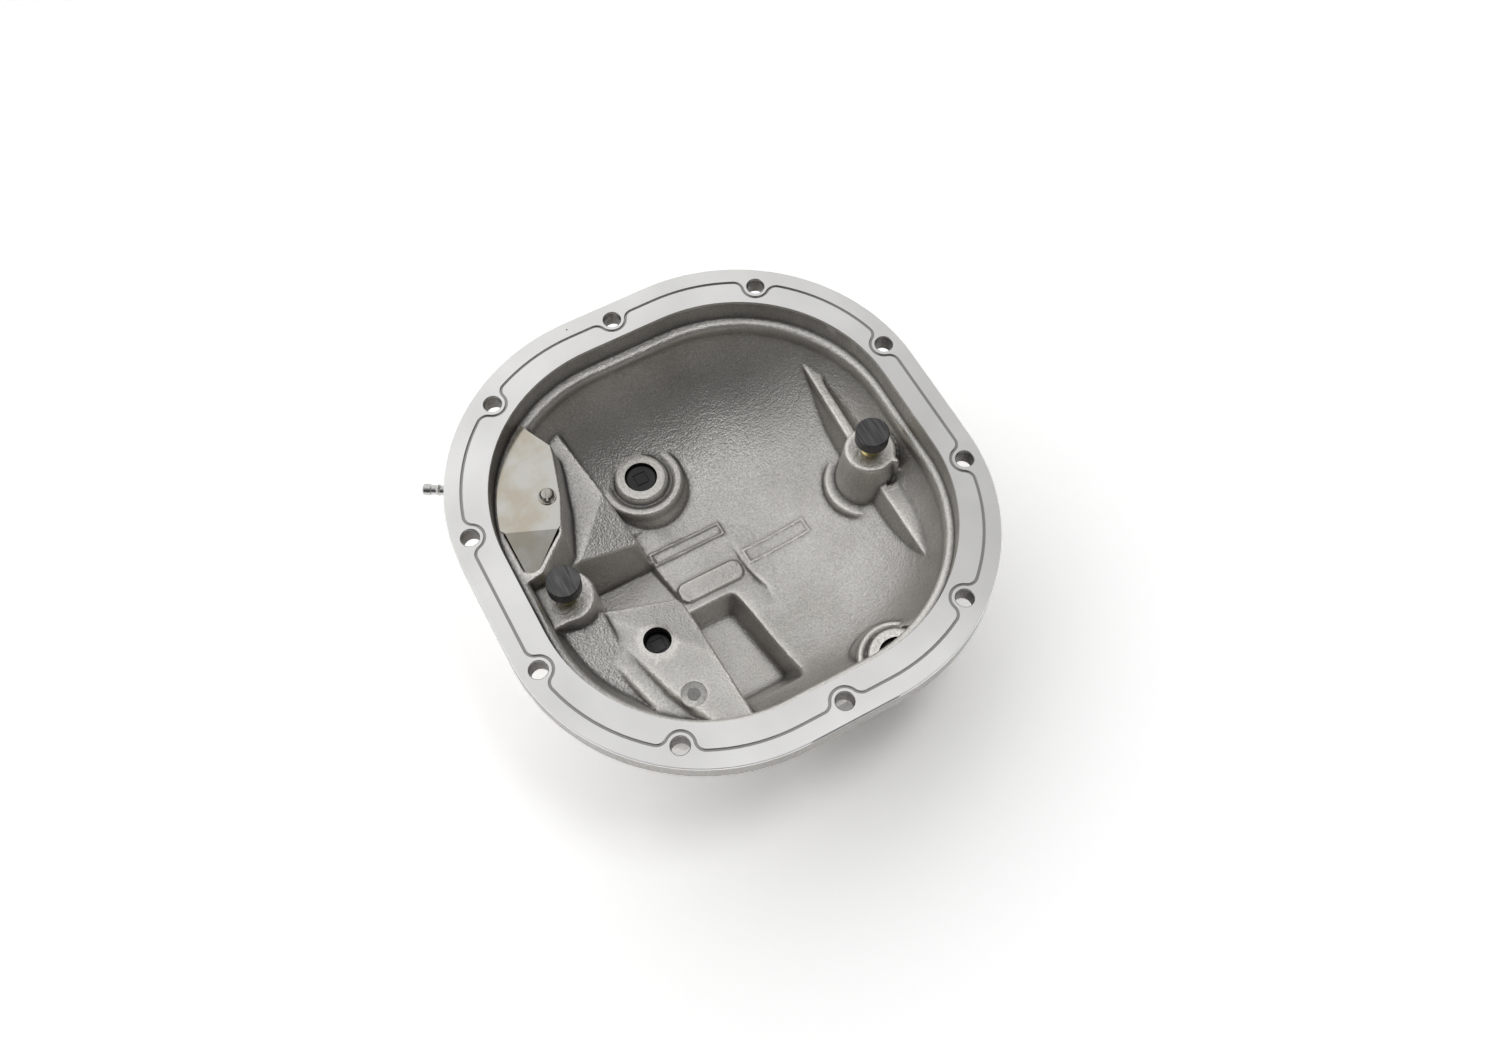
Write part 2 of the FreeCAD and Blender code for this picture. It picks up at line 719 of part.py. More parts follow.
def load_pad(side):
    """Round pad that carries the bearing cap, with a blind socket for the stem."""
    low_z = load_pad_top_z - load_pad_height
    pad = cylinder(side * load_x, load_y, load_pad_r, low_z, load_pad_top_z)
    rims = [edge for edge in pad.Edges if len(edge.Vertexes) == 1]
    pad = pad.makeChamfer(0.4, rims)
    socket = cylinder(side * load_x, load_y, load_stem_r, low_z, low_z + load_pad_socket)
    return pad.cut(socket)


def jam_washer(side):
    high_z = load_boss_outer_z
    low_z = high_z - jam_washer_thickness
    ring = cylinder(side * load_x, load_y, jam_washer_r, low_z, high_z)
    return ring.cut(cylinder(side * load_x, load_y, load_stem_r + thread_clearance, low_z, high_z))


def hexagon(flats, z):
    radius = flats / math.sqrt(3.0)
    return [(radius * math.cos(math.radians(60 * i)), radius * math.sin(math.radians(60 * i)))
            for i in range(6)]


def jam_nut(side):
    high_z = load_boss_outer_z - jam_washer_thickness
    low_z = high_z - jam_nut_height
    nut = prism(hexagon(jam_nut_flats, low_z), low_z, high_z)
    nut.translate(V(side * load_x, load_y, 0))
    corner_r = jam_nut_flats / math.sqrt(3.0)
    crown = turned([(0, low_z), (corner_r - 0.9, low_z), (corner_r + 0.3, low_z + 0.8),
                    (corner_r + 0.3, high_z - 0.8), (corner_r - 0.9, high_z), (0, high_z)],
                   side * load_x, load_y)
    nut = nut.common(crown)
    return nut.cut(cylinder(side * load_x, load_y, load_stem_r + thread_clearance, low_z, high_z))


def plug(x, y, bore, top_z, outer_z):
    """Screwed plug: a shallow square mark inside, a square key socket outside."""
    body = cylinder(x, y, bore - plug_clearance, outer_z + 1.0, top_z)
    rims = [edge for edge in body.Edges if len(edge.Vertexes) == 1]
    body = body.makeChamfer(plug_chamfer, rims)
    half = plug_mark / 2
    mark = Part.makeBox(plug_mark, plug_mark, plug_mark_depth,
                        V(x - half, y - half, top_z - plug_mark_depth))
    inner = Part.makeBox(plug_mark - 1.2, plug_mark - 1.2, plug_mark_depth,
                         V(x - half + 0.6, y - half + 0.6, top_z - plug_mark_depth))
    half = plug_socket / 2
    socket = Part.makeBox(plug_socket, plug_socket, plug_socket_depth,
                          V(x - half, y - half, outer_z + 1.0))
    return body.cut([mark.cut(inner), socket])


def vent_fitting():
    """Hose nipple: shank in the casting, collar, neck, bead and a land at the tip."""
    reach = vent_length + vent_shank
    seat = vent_length - 3.5
    profile = [(vent_bore_r, 0.0), (vent_land_r - 0.5, 0.0), (vent_land_r, 0.6), (vent_land_r, 4.0),
               (vent_neck_r, 4.4), (vent_neck_r, 6.6), (vent_bead_r - 0.5, 7.0), (vent_bead_r, 7.8),
               (vent_bead_r - 0.5, 8.8), (vent_neck_r, 9.2), (vent_neck_r, seat), (vent_collar_r, seat),
               (vent_collar_r, vent_length), (vent_neck_r + 0.5, vent_length), (vent_neck_r + 0.5, reach),
               (vent_bore_r, reach)]
    corners = [V(r, 0, -d) for r, d in profile]
    body = Part.Face(Part.makePolygon(corners + corners[:1])).revolve(V(0, 0, 0), Z, 360)
    body.Placement = FreeCAD.Placement(vent_point(0.0), FreeCAD.Rotation(Z, vent_axis()))
    return body


def baffle_plate():
    top_z = chamber_top_z + plate_thickness
    plate = slab(plate_wire(chamber_top_z), plate_thickness).fuse(flap()).removeSplitter()
    return plate.cut(cylinder(screw_x, screw_y, screw_shank_r + thread_clearance,
                              chamber_top_z - 1.0, top_z))


def baffle_washer():
    low_z = chamber_top_z + plate_thickness
    ring = cylinder(screw_x, screw_y, screw_washer_r, low_z, low_z + screw_washer_thickness)
    return ring.cut(cylinder(screw_x, screw_y, screw_shank_r + thread_clearance,
                             low_z, low_z + 2.0))


def baffle_screw():
    """Slotted pan-head screw."""
    seat_z = chamber_top_z + plate_thickness + screw_washer_thickness
    top_z = seat_z + screw_head_height
    head = turned([(0, seat_z), (screw_head_r, seat_z), (screw_head_r, seat_z + screw_head_height * 0.55),
                   (screw_head_r - 0.9, top_z - 0.15), (screw_head_r - 1.8, top_z), (0, top_z)],
                  screw_x, screw_y)
    shank = cylinder(screw_x, screw_y, screw_shank_r, chamber_top_z - screw_length + 1.0, seat_z)
    slot = Part.makeBox(3 * screw_head_r, screw_slot_width, screw_slot_depth + 1.0,
                        V(-1.5 * screw_head_r, -screw_slot_width / 2, 0))
    slot.Placement = FreeCAD.Placement(V(screw_x, screw_y, top_z - screw_slot_depth),
                                       FreeCAD.Rotation(Z, screw_slot_angle))
    return head.fuse(shank).cut(slot)


def save(shape, name):
    shape.exportStep("parts/" + name + ".step")
    print(name, len(shape.Solids), "solids", round(shape.Volume), "mm3", shape.isValid())


def main():
    os.makedirs("parts", exist_ok=True)
    save(cover_casting(), "cover_casting")
    for name, side in (("left", -1), ("right", 1)):
        save(load_stem(side), "load_bolt_" + name)
        save(load_pad(side), "load_pad_" + name)
        save(jam_washer(side), "jam_washer_" + name)
        save(jam_nut(side), "jam_nut_" + name)
    save(plug(fill_x, fill_y, fill_bore_r, fill_top_z - plug_sink, port_outer_z), "fill_plug")
    save(plug(drain_x, drain_y, drain_bore_r, drain_top_z - plug_sink, drain_outer_z), "drain_plug")
    sensor_plug_top_z = block_top_z - sensor_plug_sink
    save(plug(sensor_x, sensor_y, sensor_bore_r, sensor_plug_top_z, port_outer_z), "sensor_plug")
    save(vent_fitting(), "vent_fitting")
    save(baffle_plate(), "baffle_plate")
    save(baffle_washer(), "baffle_washer")
    save(baffle_screw(), "baffle_screw")


main()
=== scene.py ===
# Differential cover, seen from its inside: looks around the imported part
import math
import bmesh
import bpy
import numpy as np
from mathutils import Matrix, Vector
from mathutils.kdtree import KDTree


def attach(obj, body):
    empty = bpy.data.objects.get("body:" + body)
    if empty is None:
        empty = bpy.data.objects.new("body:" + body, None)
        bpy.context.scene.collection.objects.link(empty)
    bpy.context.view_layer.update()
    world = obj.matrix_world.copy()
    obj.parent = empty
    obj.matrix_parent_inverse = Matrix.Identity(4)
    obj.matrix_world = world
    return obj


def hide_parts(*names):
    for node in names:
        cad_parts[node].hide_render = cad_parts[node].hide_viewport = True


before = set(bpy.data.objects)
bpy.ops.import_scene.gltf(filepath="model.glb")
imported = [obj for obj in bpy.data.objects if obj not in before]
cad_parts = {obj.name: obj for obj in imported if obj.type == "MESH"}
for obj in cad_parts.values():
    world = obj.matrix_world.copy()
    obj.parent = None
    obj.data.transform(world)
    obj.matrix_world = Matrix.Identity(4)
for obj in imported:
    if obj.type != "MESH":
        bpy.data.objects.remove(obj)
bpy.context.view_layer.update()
mm = 0.001
# Tolerances: metres for merging doubles and for cutting along a plane, then a share for weights
mergeReach = 2e-6
planeReach = 1e-7
weightSlack = 0.001
print("frame loaded")


# Small helpers for materials

def startMaterial(name, colour, metallic, roughness):
    material = bpy.data.materials.new(name)
    material.use_nodes = True
    shader = material.node_tree.nodes["Principled BSDF"]
    shader.inputs["Base Color"].default_value = (*colour, 1.0)
    shader.inputs["Metallic"].default_value = metallic
    shader.inputs["Roughness"].default_value = roughness
    return material, shader


def addNode(material, kind, **values):
    node = material.node_tree.nodes.new(kind)
    for key, value in values.items():
        if key in node.inputs:
            node.inputs[key].default_value = value
        else:
            setattr(node, key, value)
    return node


def link(material, output, target):
    material.node_tree.links.new(output, target)


def objectPlace(material, scale=(1.0, 1.0, 1.0), turn=0.0, shift=(0.0, 0.0, 0.0)):
    place = addNode(material, "ShaderNodeTexCoord")
    mapping = addNode(material, "ShaderNodeMapping")
    mapping.inputs["Scale"].default_value = scale
    mapping.inputs["Rotation"].default_value = (0.0, 0.0, turn)
    mapping.inputs["Location"].default_value = shift
    link(material, place.outputs["Object"], mapping.inputs["Vector"])
    return mapping.outputs["Vector"]


def noise(material, vector, size, detail=2.0, roughness=0.5):
    node = addNode(material, "ShaderNodeTexNoise", Detail=detail, Roughness=roughness)
    node.inputs["Scale"].default_value = 1.0 / size
    link(material, vector, node.inputs["Vector"])
    return node.outputs["Fac"]


def streaks(material, scale, turn, detail):
    node = addNode(material, "ShaderNodeTexNoise", Scale=1.0, Detail=detail)
    link(material, objectPlace(material, scale=scale, turn=turn), node.inputs["Vector"])
    return node.outputs["Fac"]


def attribute(material, name):
    return addNode(material, "ShaderNodeAttribute", attribute_name=name).outputs["Fac"]


def ramp(material, factor, stops):
    node = addNode(material, "ShaderNodeValToRGB")
    elements = node.color_ramp.elements
    while len(elements) < len(stops):
        elements.new(0.5)
    for element, (position, colour) in zip(elements, stops):
        element.position = position
        element.color = (*colour, 1.0)
    link(material, factor, node.inputs["Fac"])
    return node.outputs["Color"]


def grey(value):
    return (value, value, value)


def toneRamp(material, factor, ends, dark, light):
    return ramp(material, factor, [(ends[0], dark), (ends[1], light)])


def greyRamp(material, factor, stops):
    return ramp(material, factor, [(position, grey(value)) for position, value in stops])


def bump(material, shader, height, distance, strength, below=None):
    node = addNode(material, "ShaderNodeBump", Strength=strength, Distance=distance)
    link(material, height, node.inputs["Height"])
    if below is not None:
        link(material, below, node.inputs["Normal"])
    link(material, node.outputs["Normal"], shader.inputs["Normal"])
    return node.outputs["Normal"]


def mixColour(material, factor, first, second, blendType="MIX"):
    node = addNode(material, "ShaderNodeMix", data_type="RGBA", blend_type=blendType)
    if isinstance(factor, float):
        node.inputs[0].default_value = factor
    else:
        link(material, factor, node.inputs[0])
    for socket, value in ((node.inputs[6], first), (node.inputs[7], second)):
        if isinstance(value, tuple):
            socket.default_value = (*value, 1.0)
        else:
            link(material, value, socket)
    return node.outputs[2]


def multiply(material, first, second):
    return mixColour(material, 1.0, first, second, "MULTIPLY")


# Materials: ends are the ramp positions of dark and light, other ramps list positions and values

castFinish = {
    # The bore tone is painted shade, used for the bore walls and the flange's outer side
    "light": (0.72, 0.703, 0.672), "dark": (0.62, 0.603, 0.572), "bore": (0.17, 0.16, 0.15),
    "metallic": 0.97, "roughness": 0.45, "patch": 30 * mm, "grain": 1.0 * mm, "pebble": 2.4 * mm,
    "ends": (0.34, 0.6), "speckle": [(0.36, 0.88), (0.56, 1.0), (0.72, 1.09)],
    # This ramp paints shade into concave creases and a highlight onto convex ridges
    "creaseShade": [(0.2, 1.26), (0.46, 1.0), (0.84, 0.38)], "rough": [(0.3, 0.50), (0.7, 0.36)],
    "grainDepth": 0.36 * mm, "grainStrength": 0.9, "pebbleDepth": 0.26 * mm, "pebbleStrength": 0.8}


def castMaterial():
    look = castFinish
    material, shader = startMaterial("sandCastMetal", look["light"], look["metallic"], look["roughness"])
    place = objectPlace(material)
    patches = noise(material, place, look["patch"], detail=3.0)
    grains = noise(material, place, look["grain"], roughness=0.55)
    pebbles = noise(material, place, look["pebble"])
    tone = toneRamp(material, patches, look["ends"], look["dark"], look["light"])
    tone = multiply(material, tone, greyRamp(material, grains, look["speckle"]))
    # Painted shade in concave creases and painted highlight on convex ridges
    tone = multiply(material, tone, greyRamp(material, attribute(material, "creaseShade"), look["creaseShade"]))
    # Painted shade: bore walls and the flange's outer side are mixed towards the dark bore tone
    for name in ("boreShade", "rimShade"):
        tone = mixColour(material, attribute(material, name), tone, look["bore"])
    link(material, tone, shader.inputs["Base Color"])
    link(material, greyRamp(material, grains, look["rough"]), shader.inputs["Roughness"])
    coarse = bump(material, shader, pebbles, look["pebbleDepth"], look["pebbleStrength"])
    bump(material, shader, grains, look["grainDepth"], look["grainStrength"], coarse)
    return material


millFinish = {
    "base": (0.80, 0.795, 0.78), "dark": (0.76, 0.755, 0.74), "light": (0.88, 0.875, 0.86),
    # The groove tone is painted shade for the groove and pit floors
    "groove": (0.33, 0.32, 0.305), "metallic": 1.0, "roughness": 0.33, "cloud": 45 * mm,
    "ends": (0.3, 0.7), "sweep": (0.31, 0.16, 0.0), "ringScale": 260.0,
    "marks": [(0.0, 0.955), (1.0, 1.0)], "rough": [(0.0, 0.30), (1.0, 0.36)],
    "depth": 0.004 * mm, "strength": 0.2}


def machinedMaterial():
    look = millFinish
    material, shader = startMaterial("milledFace", look["base"], look["metallic"], look["roughness"])
    clouds = noise(material, objectPlace(material), look["cloud"], detail=3.0)
    tone = toneRamp(material, clouds, look["ends"], look["dark"], look["light"])
    sweep = objectPlace(material, shift=look["sweep"])
    rings = addNode(material, "ShaderNodeTexWave", wave_type="RINGS", rings_direction="Z",
                    Scale=look["ringScale"], Distortion=0.5, Detail=2.0)
    link(material, sweep, rings.inputs["Vector"])
    passes = rings.outputs["Fac"]
    tone = multiply(material, tone, greyRamp(material, passes, look["marks"]))
    # Painted shade on the floors of the sealing groove and the pit
    tone = mixColour(material, attribute(material, "grooveShade"), tone, look["groove"])
    link(material, tone, shader.inputs["Base Color"])
    link(material, greyRamp(material, passes, look["rough"]), shader.inputs["Roughness"])
    bump(material, shader, passes, look["depth"], look["strength"])
    return material


# The wide clouds are 22 grains in size, and their dark end is a share of the steel's own colour
steelFinish = {"grain": 0.6 * mm, "wide": 22, "dim": 0.74, "ends": (0.35, 0.62), "rougher": 1.25,
               "smoother": 0.8, "depth": 0.04 * mm, "strength": 0.6}


def steelMaterial(name, colour, roughness, metallic=1.0):
    look = steelFinish
    material, shader = startMaterial(name, colour, metallic, roughness)
    place = objectPlace(material)
    fine = noise(material, place, look["grain"], detail=3.0)
    wide = noise(material, place, look["grain"] * look["wide"])
    dim = tuple(value * look["dim"] for value in colour)
    link(material, toneRamp(material, wide, look["ends"], dim, colour), shader.inputs["Base Color"])
    rough = [(0.3, roughness * look["rougher"]), (0.7, roughness * look["smoother"])]
    link(material, greyRamp(material, fine, rough), shader.inputs["Roughness"])
    bump(material, shader, fine, look["depth"], look["strength"])
    return material


padFinish = {
    "base": (0.09, 0.09, 0.091), "dark": (0.06, 0.06, 0.061), "light": (0.19, 0.19, 0.192),
    "metallic": 0.75, "roughness": 0.4, "streak": (900.0, 60.0, 900.0), "turn": 0.5, "worn": 5 * mm,
    "ends": (0.35, 0.68), "rough": [(0.3, 0.5), (0.7, 0.33)], "depth": 0.02 * mm, "strength": 0.5}


def padMaterial():
    look = padFinish
    material, shader = startMaterial("turnedBlack", look["base"], look["metallic"], look["roughness"])
    lines = streaks(material, look["streak"], look["turn"], detail=3.0)
    worn = noise(material, objectPlace(material), look["worn"], detail=3.0)
    tone = toneRamp(material, lines, look["ends"], look["dark"], look["light"])
    link(material, mixColour(material, worn, tone, look["base"]), shader.inputs["Base Color"])
    link(material, greyRamp(material, lines, look["rough"]), shader.inputs["Roughness"])
    bump(material, shader, lines, look["depth"], look["strength"])
    return material


sheetFinish = {
    "base": (0.50, 0.485, 0.45), "dark": (0.49, 0.45, 0.375), "light": (0.57, 0.56, 0.525),
    "metallic": 1.0, "roughness": 0.3, "cloud": 24 * mm, "streak": (3000.0, 90.0, 90.0), "turn": 0.35,
    "ends": (0.36, 0.56), "rough": [(0.3, 0.12), (0.7, 0.22)], "depth": 0.01 * mm, "strength": 0.4}


def sheetMaterial():
    look = sheetFinish
    material, shader = startMaterial("brightSheet", look["base"], look["metallic"], look["roughness"])
    clouds = noise(material, objectPlace(material), look["cloud"], detail=4.0, roughness=0.6)
    tone = toneRamp(material, clouds, look["ends"], look["dark"], look["light"])
    link(material, tone, shader.inputs["Base Color"])
    link(material, greyRamp(material, clouds, look["rough"]), shader.inputs["Roughness"])
    rolled = streaks(material, look["streak"], look["turn"], detail=2.0)
    bump(material, shader, rolled, look["depth"], look["strength"])
    return material


materials = {
    "cast": castMaterial(),
    "milled": machinedMaterial(),
    "black": padMaterial(),
    "dark": steelMaterial("darkPlug", (0.075, 0.075, 0.076), roughness=0.5, metallic=0.6),
    "zinc": steelMaterial("yellowZinc", (0.80, 0.67, 0.31), roughness=0.3),
    "plain": steelMaterial("plainSteel", (0.50, 0.48, 0.44), roughness=0.26),
    "vent": steelMaterial("nippleSteel", (0.70, 0.70, 0.69), roughness=0.2),
    "sheet": sheetMaterial()}
print("materials ready")


# Small helpers for pieces

def workingCopy(node):
    bm = bmesh.new()
    bm.from_mesh(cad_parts[node].data)
    bmesh.ops.remove_doubles(bm, verts=bm.verts, dist=mergeReach)
    return bm


def makeObject(name, bm):
    mesh = bpy.data.meshes.new(name)
    bm.to_mesh(mesh)
    bm.free()
    piece = bpy.data.objects.new(name, mesh)
    bpy.context.scene.collection.objects.link(piece)
    return piece


def bake(piece):
    graph = bpy.context.evaluated_depsgraph_get()
    mesh = bpy.data.meshes.new_from_object(piece.evaluated_get(graph))
    piece.modifiers.clear()
    piece.vertex_groups.clear()
    old = piece.data
    piece.data = mesh
    bpy.data.meshes.remove(old)


def dress(piece, material, node):
    piece.data.materials.clear()
    piece.data.materials.append(materials[material])
    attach(piece, "root")
    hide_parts(node)


def smoothShade(piece, angle):
    piece.data.shade_smooth()
    piece.data.set_sharp_from_angle(angle=math.radians(angle))


def vertexVectors(mesh, name):
    values = np.zeros(len(mesh.vertices) * 3)
    mesh.vertices.foreach_get(name, values)
    return values.reshape(-1, 3)


def addAttribute(piece, name, domain, values):
    layer = piece.data.attributes.new(name, "FLOAT", domain)
    layer.data.foreach_set("value", np.asarray(values, dtype=np.float32))


def weigh(piece, name, weight, levels):
    group = piece.vertex_groups.new(name=name)
    for level in levels:
        chosen = np.nonzero(np.abs(weight - level) < weightSlack)[0]
        group.add(chosen.tolist(), float(level), "REPLACE")


def triangleCount(piece):
    return sum(len(face.vertices) - 2 for face in piece.data.polygons)


def boxDistance(x, y, box, corner=0.0):
    halfX, halfY = (box[2] - box[0]) / 2 - corner, (box[3] - box[1]) / 2 - corner
    dx = np.abs(x - (box[0] + box[2]) / 2) - halfX
    dy = np.abs(y - (box[1] + box[3]) / 2) - halfY
    return np.hypot(np.maximum(dx, 0), np.maximum(dy, 0)) + np.minimum(np.maximum(dx, dy), 0) - corner


def within(points, x, y, reach, low):
    return (np.hypot(points[:, 0] - x, points[:, 1] - y) < reach) & (points[:, 2] > low)


def addCylinder(bm, x, y, radius, low, high, lowRadius=None):
    place = Matrix.Translation(Vector((x, y, (low + high) / 2)) * mm)
    start = radius if lowRadius is None else lowRadius
    bmesh.ops.create_cone(bm, cap_ends=True, segments=cast["segments"], radius1=start * mm,
                          radius2=radius * mm, depth=(high - low) * mm, matrix=place)


def subtract(piece, tool):
    cut = piece.modifiers.new("cut", "BOOLEAN")
    cut.operation = "DIFFERENCE"
    cut.solver = "MANIFOLD"
    cut.object = tool
    bake(piece)
    bpy.data.objects.remove(tool, do_unlink=True)


# Casting: a softened skin below the seam, the milled face above it
# Lengths that aren't multiplied by mm are in millimetres

cast = {
    "seam": -1.0, "rise": 5.0 * mm, "voxel": 0.72 * mm, "softness": 0.5, "rounds": 9, "most": 160000,
    "outerShare": 0.16, "longest": 3.2 * mm, "splitRounds": 3, "splitFacing": 0.15, "shadeAngle": 48,
    "segments": 96, "lidWidth": 400, "lidHeight": 20}
boltPattern = {"endY": 118, "cornerX": 74.55, "cornerY": 101, "sideX": 114.45, "sideY": 38.2}
fillPort = (-18, 57.5)
drainPort = (43.5, -99)
sensorPort = (-55.2, -36.5)
spotFace = (-52.5, -69.5)
loadPlaces = {"right": (85, -0.8), "left": (-85, -0.8)}


def boltPlaces():
    places = [(0, boltPattern["endY"]), (0, -boltPattern["endY"])]
    for row in ("corner", "side"):
        stepX, stepY = boltPattern[row + "X"], boltPattern[row + "Y"]
        places += [(x * stepX, y * stepY) for x in (-1, 1) for y in (-1, 1)]
    return places


bolts = boltPlaces()
# Machined places: x, y, radius, lower end, upper end; their walls get painted shade. The spot face's wall
# stays as light as the skin
darkBores = [(x, y, 4.55, -30, 2) for x, y in bolts]
darkBores += [(*fillPort, 8.6, -90, -50), (*drainPort, 9.5, -62, -30), (*sensorPort, 7.0, -90, -30)]
spotBore = (*spotFace, 6.4, -37.5, -32)
dimple = {"place": (*spotFace, 3.2, -39.8, -37.2), "tip": 0.3}
# Small casting pit that the milling left in the flange: x, y, radius, lower end, upper end
castPit = (-23, 123.5, 0.45, -0.6, 1.0)
# Round places whose faces aren't thinned out, and seats that soften less: x, y, reach, lower end
keptRounds = [(*fillPort, 24.5, -64), (*drainPort, 21.5, -50), (*sensorPort, 8.2, -48),
              (*spotFace, 7.2, -42)]
seatRings = [(*fillPort, 24, -64), (*drainPort, 21, -48)]
# Stoppers keep each machined place closed while the cast skin is softened
stoppers = [(*fillPort, 9.0, -80, -55), (*drainPort, 9.9, -56, -37.5), (*sensorPort, 7.4, -80, -37),
            (*spotFace, 6.8, -42, -37)]
stoppers += [(x, y, 5.4, -79, -22.5) for x, y in loadPlaces.values()]
stoppers += [(x, y, 5.0, -10, 3.9) for x, y in bolts]
# True discs over the faceted rims of the two round seats
stoppers += [(*fillPort, 13.3, -70, -55.0), (*drainPort, 14.0, -50, -37.5)]
# How much the skin softens: fully in the bowl, less on the flange and the seats, not at all at bolts
soft = {
    "mouth": (-104.15, -106.8, 105.85, 106.8), "corner": 84.0, "slack": 0.3, "flangeLow": -11.5,
    "flange": 0.3, "seat": 0.6, "boltReach": 9.5, "boltLow": -12}
# Bare raised frames and pad on the bowl's floor: each frame's box and height share, the pad's box
# and corner, and the area whose faces are fine enough for them
relief = {
    "frames": [(-33.0, 13.2, 8.0, 20.8, 0.9), (11.5, -8.4, 47.5, 0.6, 0.5)],
    "pad": (-29.0, -12.4, 7.0, -1.6, 4.5), "height": 0.75 * mm, "line": 0.55, "soft": 0.45,
    "top": -62, "step": 0.45 * mm, "area": (-36, -15, 50, 23.5), "areaLow": -76}
# Crease is how far a point moves, along its normal, when the skin is evened out. It drives painted shade
# in concave creases and a painted highlight on convex ridges
creaseRule = {"rounds": 14, "own": 0.4, "span": 0.8 * mm}
# The outer side is thinned first: it faces down, or away from the middle and lies beyond a radius
outerSide = {"down": -0.25, "outward": 0.45, "beyond": 70 * mm}
# A bore wall is an upright face that lies above a level and near a bore's axis; it gets painted shade
boreWall = {"upright": 0.4, "low": -75, "slack": 0.1}
# The flange's outer side, which gets painted shade to look darker than its face
rim = {"box": (-124.2, -127.9, 124.2, 127.9), "corner": 101.5, "reach": 2.2, "fade": 1.4, "tone": 0.6}
# Milled faces that look up and lie below this level are the bottoms of the sealing groove and the pit;
# they get painted shade
grooveFloor = {"facing": 0.9, "below": -0.4 * mm}


def softWeights(points):
    x, y, z = points.T
    weight = np.ones(len(points))
    outside = boxDistance(x, y, soft["mouth"], soft["corner"])
    weight[(outside > soft["slack"]) & (z > soft["flangeLow"])] = soft["flange"]
    for place in bolts:
        weight[within(points, *place, soft["boltReach"], soft["boltLow"])] = 0.0
    for ring in seatRings:
        weight[within(points, *ring)] = soft["seat"]
    return weight


def freeWeights(points):
    weight = np.ones(len(points))
    for place in keptRounds:
        weight[within(points, *place)] = 0.0
    return weight


def outerWeights(mesh):
    x, y = vertexVectors(mesh, "co").T[:2]
    nx, ny, nz = vertexVectors(mesh, "normal").T
    away = np.hypot(x, y)
    outward = (nx * x + ny * y) / np.maximum(away, mm)
    beyond = (outward > outerSide["outward"]) & (away > outerSide["beyond"])
    return np.where((nz < outerSide["down"]) | beyond, 1.0, 0.0)


def softEdge(distance):
    return np.clip(0.5 - distance / (2 * relief["soft"]), 0, 1)


def reliefWeights(points):
    x, y, z = points.T
    weight = np.zeros(len(points))
    for *box, share in relief["frames"]:
        line = np.abs(boxDistance(x, y, box) + relief["line"]) - relief["line"]
        weight = np.maximum(weight, share * softEdge(line))
    *pad, corner = relief["pad"]
    weight = np.maximum(weight, softEdge(boxDistance(x, y, pad, corner)))
    weight[z > relief["top"]] = 0.0
    return np.round(weight, 1)


def inRelief(point):
    x, y, z = point / mm
    left, front, right, back = relief["area"]
    return left < x < right and front < y < back and z > relief["areaLow"]


def cutCasting(keepBelow):
    bm = workingCopy("cover_casting")
    geometry = bm.verts[:] + bm.edges[:] + bm.faces[:]
    bmesh.ops.bisect_plane(bm, geom=geometry, dist=planeReach, plane_co=(0, 0, cast["seam"] * mm),
                           plane_no=(0, 0, 1), clear_outer=keepBelow, clear_inner=not keepBelow)
    return bm, [edge for edge in bm.edges if edge.is_boundary]


def closedCasting():
    bm, border = cutCasting(keepBelow=True)
    raised = bmesh.ops.extrude_edge_only(bm, edges=border)["geom"]
    points = [item for item in raised if isinstance(item, bmesh.types.BMVert)]
    bmesh.ops.translate(bm, verts=points, vec=(0, 0, cast["rise"]))
    top = set(points)
    edges = [edge for edge in bm.edges if edge.is_boundary and edge.verts[0] in top]
    bmesh.ops.triangle_fill(bm, use_beauty=True, edges=edges)
    bmesh.ops.recalc_face_normals(bm, faces=bm.faces)
    for stopper in stoppers:
        addCylinder(bm, *stopper)
    return makeObject("castBody", bm)


def softenSkin(piece):
    skin = piece.modifiers.new("skin", "REMESH")
    skin.mode = "VOXEL"
    skin.voxel_size = cast["voxel"]
    bake(piece)
    print("skin faces", len(piece.data.polygons))
    weight = softWeights(vertexVectors(piece.data, "co") / mm)
    weigh(piece, "soft", weight, (soft["flange"], soft["seat"], 1.0))
    soften = piece.modifiers.new("soften", "SMOOTH")
    soften.factor = cast["softness"]
    soften.iterations = cast["rounds"]
    soften.vertex_group = "soft"
    bake(piece)


def cutters():
    bm = bmesh.new()
    for bore in darkBores + [spotBore]:
        addCylinder(bm, *bore)
    addCylinder(bm, *dimple["place"], lowRadius=dimple["tip"])
    width, height = cast["lidWidth"] * mm, cast["lidHeight"] * mm
    middle = Matrix.Translation((0, 0, cast["seam"] * mm + height / 2))
    lid = bmesh.new()
    bmesh.ops.create_cube(lid, size=1.0, matrix=middle @ Matrix.Diagonal((width, width, height, 1.0)))
    return makeObject("lid", lid), makeObject("cutters", bm)


def raiseRelief(piece):
    bm = bmesh.new()
    bm.from_mesh(piece.data)
    edges = [edge for edge in bm.edges
             if edge.calc_length() > relief["step"] and all(inRelief(vert.co) for vert in edge.verts)]
    bmesh.ops.subdivide_edges(bm, edges=edges, cuts=1, use_grid_fill=True)
    bm.to_mesh(piece.data)
    bm.free()
    weight = reliefWeights(vertexVectors(piece.data, "co") / mm)
    weigh(piece, "raised", weight, np.arange(1, 11) / 10)
    lift = piece.modifiers.new("lift", "DISPLACE")
    lift.direction = "Z"
    lift.mid_level = 0.0
    lift.strength = relief["height"]
    lift.vertex_group = "raised"
    bake(piece)


